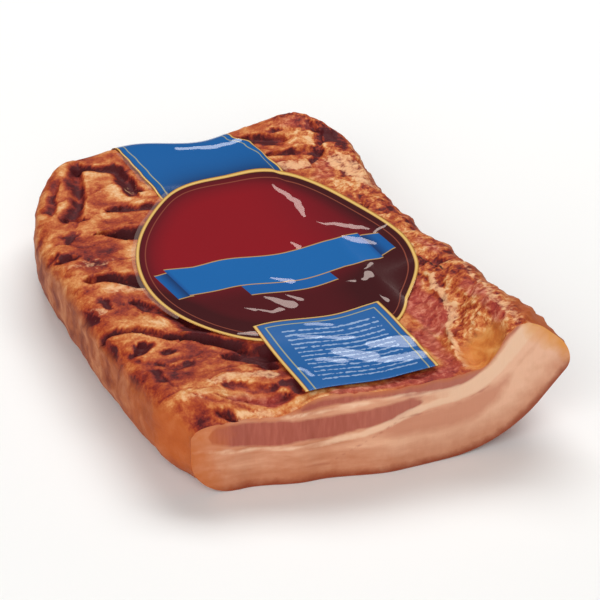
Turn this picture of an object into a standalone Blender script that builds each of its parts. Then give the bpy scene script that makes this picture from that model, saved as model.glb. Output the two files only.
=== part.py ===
"""A smoked slab of pork belly with one cut end, dressed with a three-piece label.

The slab lies flat and its right side curls up, most of all at the cut end.
The label is a medallion, a band that runs back from it over the far edge,
and a square panel in front of it, all lying on the slab's top.

Lengths here are millimetres, and MM turns them into Blender's metres.
The slab has its own coordinates: s runs across it along the curl, from the
left side to the right rim, y runs from the cut face to the back, and h is the
height above the middle of its thickness.
"""

import bmesh
import bpy
import numpy as np

MM = 0.001

# Slab: how long and thick it is, and the plain box that is shaped into it
LENGTH = 306.0
THICKNESS = 48.0
BOX_WIDTH = 216.0

# Slab: places along its length (y), and what it measures at each of them
LEFT_AT = (0, 30, 70, 120, 200, 306)
LEFT_SIDE = (-7, -17.5, -21, -24, -24.5, -17.5)
RIM_AT = (0, 30, 70, 110, 150, 200, 250, 306)
RIGHT_RIM = (199, 199, 193, 191, 186, 184, 189, 186)
CURL_DEGREES = (47, 41, 29, 18, 12, 7, 6, 14)
THICK_AT = (0, 60, 150, 230, 306)
BODY_THICKNESS = (51, 47.5, 46, 45, 48)
RIM_THICKNESS = (47, 38.5, 38, 40, 42)

# Slab: how the cut face and the back edge wander, at places across it (s)
CUT_AT = (-10, 20, 55, 100)
CUT_SET_BACK = (14, 11, 4, -4)
BACK_AT = (-26, 20, 60, 101, 140, 175, 200)
BACK_REACH = (-1, 1, 5.5, -6, 4, 3, 2)

# Slab: where it starts to curl and how tightly, and where the rim thins
CURL_START = 128.0
CURL_RADIUS = 48.0
THIN_FROM = 110.0
THIN_OVER = 80.0

# Slab: the rounded back corners, as how far in and over what length
BACK_LEFT_CORNER = (48.0, 110.0)
BACK_RIGHT_CORNER = (27.0, 46.0)

# Slab: how far each edge is rounded, sideways and in height
LEFT_ROUND_TOP = (13.0, 10.5)
LEFT_ROUND_BELOW = (22.5, 21.0)
RIGHT_ROUND = (12.0, 19.0)
BACK_ROUND = 16.0

# Slab: grooves and pits left by roasting and scoring, as (points, half width, depth)
GROOVES = (
    (((26, 292), (12, 238)), 5.0, 3.0),
    (((43, 279), (44, 248)), 5.0, 2.4),
    (((-8, 262), (8, 246)), 5.5, 3.0),
    (((22, 236), (47, 226)), 4.5, 3.4),
    (((8, 213), (30, 208), (48, 203)), 5.5, 6.0),
    (((-12, 166), (1, 159), (20, 149)), 5.5, 5.6),
    (((-22, 136), (-15, 124), (-8, 111), (7, 99), (24, 80)), 6.0, 4.2),
    (((-18, 104), (0, 89), (13, 75), (35, 61), (54, 54)), 6.5, 6.2),
    (((-11, 62), (1, 50), (12, 37)), 5.0, 4.2),
    (((-20, 116), (-18, 91), (-19, 67), (-15, 40), (-9, 20)), 4.0, 3.8),
    (((19, 27), (30, 15), (48, 7), (70, 3)), 7.5, 4.6),
    (((-4, -3), (20, -3), (36, -2)), 12.0, 9.5),
    (((11, 11), (14, 9)), 4.5, 4.0),
    (((49, 36), (52, 35)), 5.5, 3.8),
    (((-16, 199), (-15, 198)), 4.0, 3.6),
    (((-21, 208), (-20, 207)), 4.0, 3.0),
    (((122, 290), (143, 283)), 3.5, 3.4),
    (((149, 268), (164, 257)), 3.5, 3.8),
    (((158, 292), (172, 268)), 6.0, 3.0),
    (((157, 122), (160, 102)), 3.0, 3.0),
)
SCOOP_CENTRE = (166.0, 9.0)
SCOOP_RADII = (17.0, 12.0)
SCOOP_DEPTH = 5.5
RIDGE = (((160, 31), (151, 24), (144, 15)), 4.5, 1.8)
LUMPS = ((17.0, 1.8, 3), (8.0, 1.1, 4))
SMOOTH_UNDER_LABEL = 0.25

# Slab: cells across, along and through the plain box, and the share kept at the end
CELLS = (54, 76, 10)
KEPT_TRIANGLES = 0.41

# Label: sheet thickness, clearance to the slab and between the sheets
SHEET = 0.6
CLEARANCE = 0.9
SHEET_STEP = 1.1

# Label: the medallion's oval, and how far its outline swings in and out of it, as (lobes, share)
MEDALLION_CENTRE = (93.5, 149.5)
MEDALLION_RADII = (77.0, 98.8)
MEDALLION_TILT_DEGREES = -6.2
MEDALLION_LOBES = ((3, -0.059), (4, -0.018))

# Label: the front panel, with its front and back edge at its left and right side, and the back band
PANEL_SIDES = (53.0, 125.3)
PANEL_FRONT = (4.5, 9.0)
PANEL_BACK = (78.0, 85.0)
BAND_FRONT = 202.0
BAND_AT = (202, 243, 262, 277, 290, 306)
BAND_LEFT = (58, 56, 54, 52.5, 51, 50)
BAND_RIGHT = (138, 136.5, 133.5, 128.5, 120, 116)
BAND_DROP = 24.0

# The middle of the whole part's plan, which is moved to the origin
MIDDLE = (85.8, 154.5)


def stations(place, at, values):
    """A smooth curve through a few stations, level at each of them."""
    at = np.asarray(at, float)
    values = np.asarray(values, float)
    place = np.asarray(place, float)
    i = np.clip(np.searchsorted(at, place, side="right") - 1, 0, len(at) - 2)
    f = np.clip((place - at[i]) / (at[i + 1] - at[i]), 0, 1)
    return values[i] + (values[i + 1] - values[i]) * ease(f)


def ease(f):
    """0 to 1 with a level start and end."""
    return f * f * (3 - 2 * f)


def corner(y, inset, run):
    """How far an elliptical back corner pulls a side in at y."""
    f = np.clip((y - (LENGTH - run)) / run, 0, 1)
    return inset * (1 - np.sqrt(np.maximum(1 - f * f, 0)))


def sides(y):
    """The left side and the right rim, as s, at y."""
    left = stations(y, LEFT_AT, LEFT_SIDE) + corner(y, *BACK_LEFT_CORNER)
    right = stations(y, RIM_AT, RIGHT_RIM) - corner(y, *BACK_RIGHT_CORNER)
    return left, right


def thickness(s, y):
    """The slab's thickness, which thins towards the rim."""
    body = stations(y, THICK_AT, BODY_THICKNESS)
    rim = stations(y, THICK_AT, RIM_THICKNESS)
    return body + (rim - body) * ease(np.clip((s - THIN_FROM) / THIN_OVER, 0, 1))


def place(s, y, h):
    """World x, y, z of a point of the slab: the slab is bent up round a roll, from CURL_START on."""
    curl = np.radians(stations(y, RIM_AT, CURL_DEGREES))
    angle = np.clip((s - CURL_START) / CURL_RADIUS, 0, curl)
    beyond = np.maximum(s - CURL_START - CURL_RADIUS * curl, 0)
    x = np.minimum(s, CURL_START) + CURL_RADIUS * np.sin(angle) + beyond * np.cos(curl)
    middle = stations(y, THICK_AT, BODY_THICKNESS) / 2
    z = middle + CURL_RADIUS * (1 - np.cos(angle)) + beyond * np.sin(curl)
    front = stations(s, CUT_AT, CUT_SET_BACK)
    back = LENGTH + stations(s, BACK_AT, BACK_REACH)
    world_y = front + (back - front) * y / LENGTH
    return np.stack([x - h * np.sin(angle) - MIDDLE[0], world_y - MIDDLE[1], z + h * np.cos(angle)], -1)


def edge_radii(u, w):
    """Sideways and height radii of the edge rounding, at a place across and above or below."""
    sideways = np.where(u < 0, np.where(w < 0, LEFT_ROUND_BELOW[0], LEFT_ROUND_TOP[0]), RIGHT_ROUND[0])
    near = np.where(w < 0, LEFT_ROUND_BELOW[1], LEFT_ROUND_TOP[1])
    height = near + (RIGHT_ROUND[1] - near) * (u + 1) / 2
    return sideways, height


def rounded(u, v, w):
    """The box's point (u, v, w), each from -1 to 1, drawn in onto rounded edges: each edge zone is
    scaled so that its square section becomes a quarter of an ellipse. Gives the share across, y and h."""
    half = np.array([BOX_WIDTH, LENGTH, THICKNESS]) / 2
    point = np.stack([u, v, w], -1) * half
    sideways, height = edge_radii(u, w)
    low = np.stack([sideways - half[0], np.full(u.shape, -half[1]), height - half[2]], -1)
    high = np.stack([half[0] - sideways, np.full(u.shape, half[1] - BACK_ROUND), half[2] - height], -1)
    core = np.clip(point, low, high)
    radii = np.stack([sideways, np.full(u.shape, BACK_ROUND), height], -1)
    q = (point - core) / radii
    reach = np.abs(q).max(-1, keepdims=True)
    size = np.maximum(np.linalg.norm(q, axis=-1, keepdims=True), 1e-9)
    point = core + (point - core) * reach / size
    return (point[..., 0] + half[0]) / BOX_WIDTH, point[..., 1] + half[1], point[..., 2]


def distance(s, y, points):
    """Distance to a line through the points."""
    nearest = np.full(np.shape(s), 1e9)
    for (ax, ay), (bx, by) in zip(points[:-1], points[1:]):
        dx, dy = bx - ax, by - ay
        t = np.clip(((s - ax) * dx + (y - ay) * dy) / (dx * dx + dy * dy), 0, 1)
        nearest = np.minimum(nearest, np.hypot(s - ax - t * dx, y - ay - t * dy))
    return nearest


def lumps(s, y, size, seed):
    """Smooth random heights from -1 to 1, with one draw for each square of the given size."""
    draws = np.random.default_rng(seed).uniform(-1, 1, (64, 64))
    a, b = s / size + 10, y / size + 10
    i, j = np.floor(a).astype(int), np.floor(b).astype(int)
    f, g = ease(a - i), ease(b - j)
    i, j = i % 63, j % 63
    near = draws[i, j] * (1 - f) + draws[i + 1, j] * f
    far = draws[i, j + 1] * (1 - f) + draws[i + 1, j + 1] * f
    return near * (1 - g) + far * g


def under_label(s, y):
    """1 where a sheet of the label lies, falling to 0 beside it."""
    du, dv = medallion_place(s, y)
    medallion = 1.08 - np.hypot(du, dv)
    panel = np.minimum(s - PANEL_SIDES[0], PANEL_SIDES[1] - s) / 40
    front, back = panel_ends(s)
    panel = np.minimum(panel, np.minimum(back - y, y - front) / 40)
    left, right = band_sides(y)
    band = np.minimum(np.minimum(s - left, right - s), y - BAND_FRONT) / 40
    inside = np.maximum(np.maximum(medallion, panel), band)
    return ease(np.clip(inside * 8 + 0.3, 0, 1))


def relief(s, y):
    """Depth of the grooves and pits, with the lumps between them, over the slab's top."""
    height = np.zeros(np.shape(s))
    for points, half_width, depth in GROOVES:
        height -= depth * np.exp(-((distance(s, y, points) / half_width) ** 2))
    for size, amount, seed in LUMPS:
        height += amount * (lumps(s, y, size, seed) - 1) / 2
    height *= 1 - (1 - SMOOTH_UNDER_LABEL) * under_label(s, y)
    away = np.hypot((s - SCOOP_CENTRE[0]) / SCOOP_RADII[0], (y - SCOOP_CENTRE[1]) / SCOOP_RADII[1])
    height -= SCOOP_DEPTH * np.exp(-(away**4))
    return height + RIDGE[2] * np.exp(-((distance(s, y, RIDGE[0]) / RIDGE[1]) ** 2))


def medallion_place(s, y):
    """A point in the medallion's own oval, where its edge is at a distance of 1."""
    turn = np.radians(MEDALLION_TILT_DEGREES)
    ds, dy = s - MEDALLION_CENTRE[0], y - MEDALLION_CENTRE[1]
    across = ds * np.cos(turn) + dy * np.sin(turn)
    along = dy * np.cos(turn) - ds * np.sin(turn)
    across, along = across / MEDALLION_RADII[0], along / MEDALLION_RADII[1]
    reach = lobes(across, along)
    return across / reach, along / reach


def lobes(across, along):
    """The outline's radius in a direction, as a share of the oval's: 1 plus a wave for each lobe count."""
    direction = np.arctan2(along, across)
    return 1 + sum(share * np.sin(count * direction) for count, share in MEDALLION_LOBES)


def panel_ends(s):
    """The panel's front and back edge at s. Both slant."""
    return np.interp(s, PANEL_SIDES, PANEL_FRONT), np.interp(s, PANEL_SIDES, PANEL_BACK)


def band_sides(y):
    """The band's left and right edge at y."""
    return stations(y, BAND_AT, BAND_LEFT), stations(y, BAND_AT, BAND_RIGHT)


def new_object(name, mesh, colour, roughness):
    """An object with its own material, in the part's collection."""
    material = bpy.data.materials.new(name)
    material.use_nodes = True
    shader = material.node_tree.nodes["Principled BSDF"]
    shader.inputs["Base Color"].default_value = (*colour, 1)
    shader.inputs["Roughness"].default_value = roughness
    obj = bpy.data.objects.new(name, mesh)
    obj.data.materials.append(material)
    bpy.data.collections["bacon pack"].objects.link(obj)
    obj.data.shade_smooth()
    return obj


def read_points(mesh):
    """The mesh's vertices as rows of x, y, z."""
    points = np.empty(len(mesh.vertices) * 3)
    mesh.vertices.foreach_get("co", points)
    return points.reshape(-1, 3)


def write_points(mesh, points):
    """Puts rows of millimetres into the mesh, in metres."""
    mesh.vertices.foreach_set("co", (points * MM).ravel())
    mesh.update()


def make_slab():
    """A cube cut into cells, drawn onto the slab's form, with spare triangles taken out. The relief
    lowers the top in full and the layers below it less and less."""
    bm = bmesh.new()
    bmesh.ops.create_cube(bm, size=2)
    for axis, cells in enumerate(CELLS):
        direction = [0.0, 0.0, 0.0]
        direction[axis] = 1.0
        for cut in np.linspace(-1, 1, cells + 1)[1:-1]:
            everything = bm.verts[:] + bm.edges[:] + bm.faces[:]
            where = [cut * d for d in direction]
            bmesh.ops.bisect_plane(bm, geom=everything, plane_co=where, plane_no=direction)
    mesh = bpy.data.meshes.new("slab")
    bm.to_mesh(mesh)
    bm.free()
    u, v, w = read_points(mesh).T
    share, y, h = rounded(u, v, w)
    left, right = sides(y)
    s = left + (right - left) * share
    level = h / THICKNESS + 0.5
    points = place(s, y, h * thickness(s, y) / THICKNESS + relief(s, y) * level**2)
    points[:, 2] = np.maximum(points[:, 2], 0)
    write_points(mesh, points)
    slab = new_object("slab", mesh, (0.47, 0.20, 0.10), 0.5)
    fewer = slab.modifiers.new("fewer triangles", "DECIMATE")
    fewer.ratio = KEPT_TRIANGLES
    return slab


def make_sheet(name, cells, where, colour):
    """A grid of cells laid on the slab by a function of its two directions, from -1 to 1."""
    bm = bmesh.new()
    bmesh.ops.create_grid(bm, x_segments=cells[0], y_segments=cells[1], size=1)
    mesh = bpy.data.meshes.new(name)
    bm.to_mesh(mesh)
    bm.free()
    u, v, _ = read_points(mesh).T
    write_points(mesh, where(u, v))
    sheet = new_object(name, mesh, colour, 0.25)
    wall = sheet.modifiers.new("sheet thickness", "SOLIDIFY")
    wall.thickness = SHEET * MM
    wall.offset = 1
    return sheet


def medallion_points(u, v):
    """The grid's square is drawn onto a disc, then onto the oval. It steps over the band behind."""
    across, along = u * np.sqrt(1 - v * v / 2), v * np.sqrt(1 - u * u / 2)
    reach = lobes(across, along)
    across, along = across * reach * MEDALLION_RADII[0], along * reach * MEDALLION_RADII[1]
    turn = np.radians(MEDALLION_TILT_DEGREES)
    s = MEDALLION_CENTRE[0] + across * np.cos(turn) - along * np.sin(turn)
    y = MEDALLION_CENTRE[1] + across * np.sin(turn) + along * np.cos(turn)
    step = SHEET_STEP * ease(np.clip((y - BAND_FRONT + 16) / 12, 0, 1))
    return place(s, y, thickness(s, y) / 2 + CLEARANCE + step)


def panel_points(u, v):
    """The panel lies on the slab, and its back edge steps up over the medallion."""
    s = np.interp(u, (-1, 1), PANEL_SIDES)
    front, back = panel_ends(s)
    y = front + (back - front) * (v + 1) / 2
    du, dv = medallion_place(s, y)
    step = SHEET_STEP * ease(np.clip((1.22 - np.hypot(du, dv)) / 0.14, 0, 1))
    return place(s, y, thickness(s, y) / 2 + CLEARANCE + step)


def band_points(u, v):
    """The band runs along the top, round the back edge's ellipse and down the back."""
    top_run = LENGTH - BACK_ROUND - BAND_FRONT
    bend_run = np.pi / 2 * BACK_ROUND
    way = (v + 1) / 2 * (top_run + bend_run + BAND_DROP)
    angle = np.clip((way - top_run) / bend_run, 0, 1) * np.pi / 2
    down = np.maximum(way - top_run - bend_run, 0)
    y = BAND_FRONT + np.minimum(way, top_run) + (BACK_ROUND + CLEARANCE) * np.sin(angle)
    band_left, band_right = band_sides(y)
    s = band_left + (band_right - band_left) * (u + 1) / 2
    left, right = sides(np.full(u.shape, LENGTH - BACK_ROUND))
    _, height = edge_radii(2 * (s - left) / (right - left) - 1, np.ones(u.shape))
    h = THICKNESS / 2 - height + (height + CLEARANCE) * np.cos(angle) - down
    return place(s, y, h * thickness(s, y) / THICKNESS)


for leftover in list(bpy.data.objects):
    bpy.data.objects.remove(leftover, do_unlink=True)
bpy.context.scene.collection.children.link(bpy.data.collections.new("bacon pack"))

make_slab()
make_sheet("back_band", (16, 26), band_points, (0.01, 0.13, 0.40))
make_sheet("medallion", (22, 26), medallion_points, (0.28, 0.01, 0.03))
make_sheet("front_panel", (14, 14), panel_points, (0.01, 0.13, 0.40))
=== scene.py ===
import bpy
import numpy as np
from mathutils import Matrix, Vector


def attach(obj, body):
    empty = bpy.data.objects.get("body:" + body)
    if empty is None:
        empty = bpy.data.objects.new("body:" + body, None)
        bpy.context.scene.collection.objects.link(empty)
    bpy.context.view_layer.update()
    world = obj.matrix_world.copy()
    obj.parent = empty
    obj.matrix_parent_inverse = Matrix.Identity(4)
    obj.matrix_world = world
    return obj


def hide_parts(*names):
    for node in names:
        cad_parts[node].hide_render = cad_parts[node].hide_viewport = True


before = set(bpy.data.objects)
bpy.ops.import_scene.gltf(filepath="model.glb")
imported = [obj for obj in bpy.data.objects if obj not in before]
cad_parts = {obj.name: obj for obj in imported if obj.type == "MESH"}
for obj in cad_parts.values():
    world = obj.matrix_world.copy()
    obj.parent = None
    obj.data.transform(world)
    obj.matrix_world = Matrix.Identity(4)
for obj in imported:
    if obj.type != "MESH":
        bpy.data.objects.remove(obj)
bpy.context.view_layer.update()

# %% [markdown]
# # A smoked bacon slab and its label
# The object is a half side of smoked pork belly. It has one clean knife cut, a browned
# and scored top, and a printed film label: an oval medallion, a band that runs back
# from it over the far edge, and a square panel in front.
#
# The frame that was just loaded holds four plain solids at their real size. Each one is
# replaced by a finer mesh of the same form, worked out with numpy.

MM = 0.001


# %% [markdown]
# ## Small tools
# Colours are easiest to judge as the hex values of a picture editor, but Blender's
# shaders count light. One function turns the first into the second.
# One more function adds a shader node, sets it up and links it, so that each material
# below reads from top to bottom like a recipe.

# %% Colour and node helpers
def linear(hex_colour):
    """Hex sRGB to linear light: divide by 12.92 near black, else ((c + 0.055) / 1.055) ** 2.4."""
    c = np.array([int(hex_colour[i:i + 2], 16) for i in (1, 3, 5)]) / 255
    light = np.where(c <= 0.04045, c / 12.92, ((c + 0.055) / 1.055) ** 2.4)
    return (*light.tolist(), 1.0)


def node(tree, kind, inputs=None, out=0, stops=None, **settings):
    """Adds one node and gives one of its outputs. Inputs are values or other nodes' outputs. The
    kind is the node type's name without its 'ShaderNode'."""
    made = tree.nodes.new("ShaderNode" + kind)
    for name, value in settings.items():
        setattr(made, name, value)
    for key, value in (inputs or {}).items():
        if isinstance(value, bpy.types.NodeSocket):
            tree.links.new(value, made.inputs[key])
        else:
            made.inputs[key].default_value = value
    if stops:
        ramp = made.color_ramp
        while len(ramp.elements) < len(stops):
            ramp.elements.new(0.5)
        for element, (place_on_ramp, colour) in zip(ramp.elements, stops):
            element.position = place_on_ramp
            element.color = linear(colour) if isinstance(colour, str) else (colour,) * 3 + (1,)
    return made.outputs[out]


def new_material(name, settings):
    """A material whose Principled shader has these settings, given with its tree and that shader."""
    material = bpy.data.materials.new(name)
    material.use_nodes = True
    shader = material.node_tree.nodes["Principled BSDF"]
    for socket, value in settings.items():
        shader.inputs[socket].default_value = value
    return material, material.node_tree, shader


# %% [markdown]
# ## The slab's form
# Real belly is a flat sheet of muscle and fat that stiffens in the smoke, so it keeps
# the curl it hung with. The form is made in three steps that follow the real thing: a
# plain box gets rounded edges, its outline and thickness change from place to place,
# and then the sheet is bent up round a roll on its right side.
# Measures are in millimetres. s runs across the sheet along its curl, y runs from the
# cut to the back, and h is the height above the middle of the thickness.

# %% Driving sizes of the slab
LENGTH, THICKNESS, BOX_WIDTH = 306.0, 48.0, 216.0
LEFT_AT = (0, 30, 70, 120, 200, 306)
LEFT_SIDE = (-7, -17.5, -21, -24, -24.5, -17.5)
RIM_AT = (0, 30, 70, 110, 150, 200, 250, 306)
RIGHT_RIM = (199, 199, 193, 191, 186, 184, 189, 186)
CURL_DEGREES = (47, 41, 29, 18, 12, 7, 6, 14)
THICK_AT = (0, 60, 150, 230, 306)
BODY_THICKNESS = (51, 47.5, 46, 45, 48)
RIM_THICKNESS = (47, 38.5, 38, 40, 42)
CUT_AT, CUT_SET_BACK = (-10, 20, 55, 100), (14, 11, 4, -4)
BACK_AT = (-26, 20, 60, 101, 140, 175, 200)
BACK_REACH = (-1, 1, 5.5, -6, 4, 3, 2)
CURL_START, CURL_RADIUS = 128.0, 48.0
THIN_FROM, THIN_OVER = 110.0, 80.0
BACK_LEFT_CORNER, BACK_RIGHT_CORNER = (48.0, 110.0), (27.0, 46.0)
LEFT_ROUND_TOP, LEFT_ROUND_BELOW = (13.0, 10.5), (22.5, 21.0)
RIGHT_ROUND, BACK_ROUND = (12.0, 19.0), 16.0
MIDDLE = (85.8, 154.5)
print("slab:", LENGTH, "mm long,", THICKNESS, "mm thick, curled by", CURL_DEGREES[0], "degrees at the cut")


# %% [markdown]
# ## The form as formulas
# Each step is one short function that takes whole arrays of points, so that a finer grid
# costs no more code. Most sizes change along the slab. They are written down at a few
# stations, as a carver marks them, and ease from one station to the next.

# %% Bending a box into the slab
def ease(f):
    """3 f^2 - 2 f^3 on 0 to 1: it starts and ends level."""
    f = np.clip(f, 0, 1)
    return f * f * (3 - 2 * f)


def stations(where, at, values):
    """A curve through stations: between two of them it eases from one value to the next."""
    at, values = np.asarray(at, float), np.asarray(values, float)
    i = np.clip(np.searchsorted(at, where, side="right") - 1, 0, len(at) - 2)
    return values[i] + (values[i + 1] - values[i]) * ease((where - at[i]) / (at[i + 1] - at[i]))


def corner(y, inset, run):
    """An ellipse's quarter: inset times 1 - sqrt(1 - f^2), where f goes from 0 to 1 over the run."""
    f = np.clip((y - (LENGTH - run)) / run, 0, 1)
    return inset * (1 - np.sqrt(np.maximum(1 - f * f, 0)))


def sides(y):
    """s of the left side and of the right rim at y, with the rounded back corners."""
    left = stations(y, LEFT_AT, LEFT_SIDE) + corner(y, *BACK_LEFT_CORNER)
    return left, stations(y, RIM_AT, RIGHT_RIM) - corner(y, *BACK_RIGHT_CORNER)


def thickness(s, y):
    """The body's thickness at y, easing to the rim's thickness as s nears the rim."""
    body = stations(y, THICK_AT, BODY_THICKNESS)
    return body + (stations(y, THICK_AT, RIM_THICKNESS) - body) * ease((s - THIN_FROM) / THIN_OVER)


def place(s, y, h):
    """World point in mm: up to CURL_START the sheet is flat, then it follows an arc by the curl's
    angle, then runs on straight. h is measured square to the sheet, so it turns by that angle."""
    curl = np.radians(stations(y, RIM_AT, CURL_DEGREES))
    angle = np.clip((s - CURL_START) / CURL_RADIUS, 0, curl)
    beyond = np.maximum(s - CURL_START - CURL_RADIUS * curl, 0)
    x = np.minimum(s, CURL_START) + CURL_RADIUS * np.sin(angle) + beyond * np.cos(curl)
    middle = stations(y, THICK_AT, BODY_THICKNESS) / 2
    z = middle + CURL_RADIUS * (1 - np.cos(angle)) + beyond * np.sin(curl)
    front = stations(s, CUT_AT, CUT_SET_BACK)
    world_y = front + (LENGTH + stations(s, BACK_AT, BACK_REACH) - front) * y / LENGTH
    return np.stack([x - h * np.sin(angle) - MIDDLE[0], world_y - MIDDLE[1], z + h * np.cos(angle)], -1)


def edge_radii(u, w):
    """How far the edges are rounded, sideways and in height. The lower left edge is the softest."""
    below = w < 0
    sideways = np.where(u < 0, np.where(below, LEFT_ROUND_BELOW[0], LEFT_ROUND_TOP[0]), RIGHT_ROUND[0])
    near = np.where(below, LEFT_ROUND_BELOW[1], LEFT_ROUND_TOP[1])
    return sideways, near + (RIGHT_ROUND[1] - near) * (u + 1) / 2


def rounded(u, v, w):
    """A box point, with u, v, w from -1 to 1, drawn in onto rounded edges. Beyond the inner core,
    q is the offset in radii: scaling it by max|q| / |q| turns a square section into an ellipse."""
    half = np.array([BOX_WIDTH, LENGTH, THICKNESS]) / 2
    point = np.stack([u, v, w], -1) * half
    sideways, height = edge_radii(u, w)
    all_along = np.ones(u.shape)
    low = np.stack([sideways - half[0], -half[1] * all_along, height - half[2]], -1)
    high = np.stack([half[0] - sideways, (half[1] - BACK_ROUND) * all_along, half[2] - height], -1)
    core = np.clip(point, low, high)
    radii = np.stack([sideways, BACK_ROUND * all_along, height], -1)
    q = (point - core) / radii
    reach = np.abs(q).max(-1, keepdims=True)
    point = core + (point - core) * reach / np.maximum(np.linalg.norm(q, axis=-1, keepdims=True), 1e-9)
    outward = q / radii
    outward /= np.maximum(np.linalg.norm(outward, axis=-1, keepdims=True), 1e-9)
    outward *= reach > 0.999
    share, y, h = (point[..., 0] + half[0]) / BOX_WIDTH, point[..., 1] + half[1], point[..., 2]
    return share, y, h, outward


# %% [markdown]
# ## Relief of the roasted top
# The top was scored and roasted, so it is a field of soft cushions with troughs between
# them. Each trough is drawn as a trail: a line of a few points with a width at its
# start and at its end, a depth, and how dark it is, which is char together with painted
# shade. The wall on its back side is steep and dark, and its front side runs out gently,
# so distances on the back side count for more. A trail of one short step is a pit. The
# pits just left of the panel, near s 45 and y 42 to 56, are fully dark: the panel's
# shadow is painted there on top of their depth.
# More trails, without depth, place pale fat, dark lean and the clean smooth scoop.

# %% Trails: (points, width at the start, width at the end, depth, char with painted shade)
TROUGHS = (
    (((24, 287), (17, 266), (11, 246), (2, 234)), 5.0, 5.5, 3.2, 0.7),
    (((25, 286), (36, 282), (44, 276), (47, 262), (48, 248)), 4.5, 6.0, 3.4, 0.9),
    (((7, 272), (1, 262), (-6, 245)), 3.0, 4.0, 1.8, 0.6),
    (((26, 236), (38, 231), (48, 230)), 2.5, 6.0, 2.6, 0.7),
    (((10, 210), (22, 207), (38, 203)), 1.5, 9.0, 6.6, 1.0),
    (((0, 236), (6, 232)), 4.0, 4.0, 2.0, 0.7),
    (((-8, 215), (0, 215), (-6, 206)), 2.2, 2.5, 1.5, 0.7),
    (((-15, 192), (-14, 192)), 4.5, 4.5, 4.0, 1.0),
    (((-21, 197), (-20, 197)), 3.0, 3.0, 2.5, 0.9),
    (((-10, 160), (0, 160), (16, 152)), 4.0, 8.0, 5.5, 0.9),
    (((4, 127), (12, 119), (22, 107), (28, 92)), 2.0, 8.0, 2.6, 0.65),
    (((-26, 143), (-22, 133), (-19, 120)), 2.5, 3.0, 1.5, 0.6),
    (((-10, 135), (-7, 128)), 2.5, 2.5, 1.5, 0.6),
    (((-20, 103), (-3, 98), (2, 93), (12, 84)), 3.0, 4.0, 3.5, 0.8),
    (((12, 84), (24, 79), (36, 70), (47, 60), (52, 55)), 3.0, 9.0, 6.0, 1.0),
    (((-20, 102), (-19, 88), (-20, 66), (-20, 50), (-18, 35), (-19, 20)), 3.0, 4.0, 3.2, 0.65),
    (((-6, 80), (-5, 80)), 4.0, 4.0, 3.5, 1.0),
    (((-10, 76), (-9, 76)), 3.0, 3.0, 2.4, 1.0),
    (((3, 70), (4, 70)), 3.0, 3.0, 2.0, 0.9),
    (((-4, 61), (3, 53), (10, 55)), 2.0, 3.0, 1.5, 0.6),
    (((31, 56), (40, 52), (48, 46)), 3.0, 6.0, 3.0, 0.75),
    (((45, 42), (47, 42)), 4.0, 4.0, 4.0, 1.0),
    (((21, 26), (32, 22), (43, 20)), 2.0, 3.0, 1.4, 0.75),
    (((50, 20), (54, 14)), 3.0, 4.0, 2.0, 0.9),
    (((13, 6), (15, 4)), 4.0, 4.0, 4.0, 0.95),
    (((-8, 52), (-6, 42)), 3.0, 3.0, 1.5, 0.6),
    (((-13, 15), (-12, 12)), 4.0, 4.0, 1.5, 0.6),
    (((16, 17), (30, 13), (44, 12)), 2.0, 4.5, 2.0, 0.7),
    (((122, 287), (140, 282), (150, 275)), 4.0, 5.0, 3.2, 0.85),
    (((137, 262), (150, 261), (162, 257)), 2.5, 4.5, 3.0, 0.9),
    (((172, 281), (172, 268), (166, 252), (158, 245)), 2.5, 3.0, 2.0, 0.65),
    (((150, 284), (151, 284)), 3.0, 3.0, 2.0, 0.8),
    (((178, 268), (182, 256)), 5.0, 5.0, 1.0, 0.6),
)
STEEPER_AT_THE_BACK = 2.4
SOFT_DIPS = (
    (((-4, -3), (20, -3), (36, -2)), 12.0, 12.0, 9.0),
    (((22, 18), (31, 14), (42, 13)), 6.5, 7.5, 3.6),
)
PALE_FAT = (
    (((-4, 142), (8, 143), (16, 141)), 5.0, 5.0, 0.8),
    (((16, 31), (44, 31)), 4.5, 5.0, 0.8),
    (((169, 88), (166, 55), (163, 40), (156, 22), (149, 8)), 3.0, 4.0, 0.9),
    (((140, 247), (150, 244)), 6.0, 6.0, 0.9),
    (((172, 240), (176, 222), (178, 205)), 9.0, 8.0, 0.9),
    (((188, 95), (189, 60), (192, 30), (194, 5)), 2.2, 3.0, 0.9),
    (((20, 1), (38, 2)), 4.0, 3.5, 0.7),
    (((-3, 17), (6, 18)), 4.0, 4.0, 0.6),
    (((-15, 126), (-14, 124)), 5.0, 5.0, 0.6),
    (((30, 255), (45, 253)), 6.0, 6.0, 0.4),
    (((-14, 182), (4, 176)), 8.0, 8.0, 0.4),
    (((46, -1), (46.5, 0)), 2.2, 2.2, 0.9),
)
DARK_LEAN = (
    (((152, 92), (152, 72), (155, 50)), 9.0, 13.0, 0.95),
    (((138, 45), (140, 18)), 10.0, 9.0, 0.75),
    (((181, 64), (188, 42), (187, 16)), 5.0, 6.0, 0.7),
    (((161, 240), (156, 228)), 8.0, 8.0, 0.6),
    (((168, 281), (160, 287)), 7.0, 7.0, 0.5),
    (((66, 3), (100, 4), (125, 6), (140, 10)), 3.0, 7.0, 0.7),
    (((24, 14), (40, 11)), 7.0, 6.0, 0.6),
    (((176, 130), (180, 112)), 3.0, 4.0, 0.5),
)
SLIT = ((167, 117), (169.5, 108), (173, 98), (176.5, 87))
SCOOP_CENTRE, SCOOP_RADII, SCOOP_DEPTH = (168.0, 9.0), (18.0, 14.0), 5.5
RIDGE = (((163, 38), (156, 22), (148, 10)), 4.5, 1.8)
DARKER_AT, DARKER_REACH, DARKER_BY = (10.0, 125.0), (45.0, 62.0), 0.1
print(len(TROUGHS), "troughs and", len(PALE_FAT) + len(DARK_LEAN), "patches of fat and lean")


# %% [markdown]
# ## Distances and smooth noise
# Two tools shape the relief. One gives the distance to a trail, which any profile can be
# drawn over. The other gives soft random lumps of one size. They are seeded, so that the
# same slab comes out each time.

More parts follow.
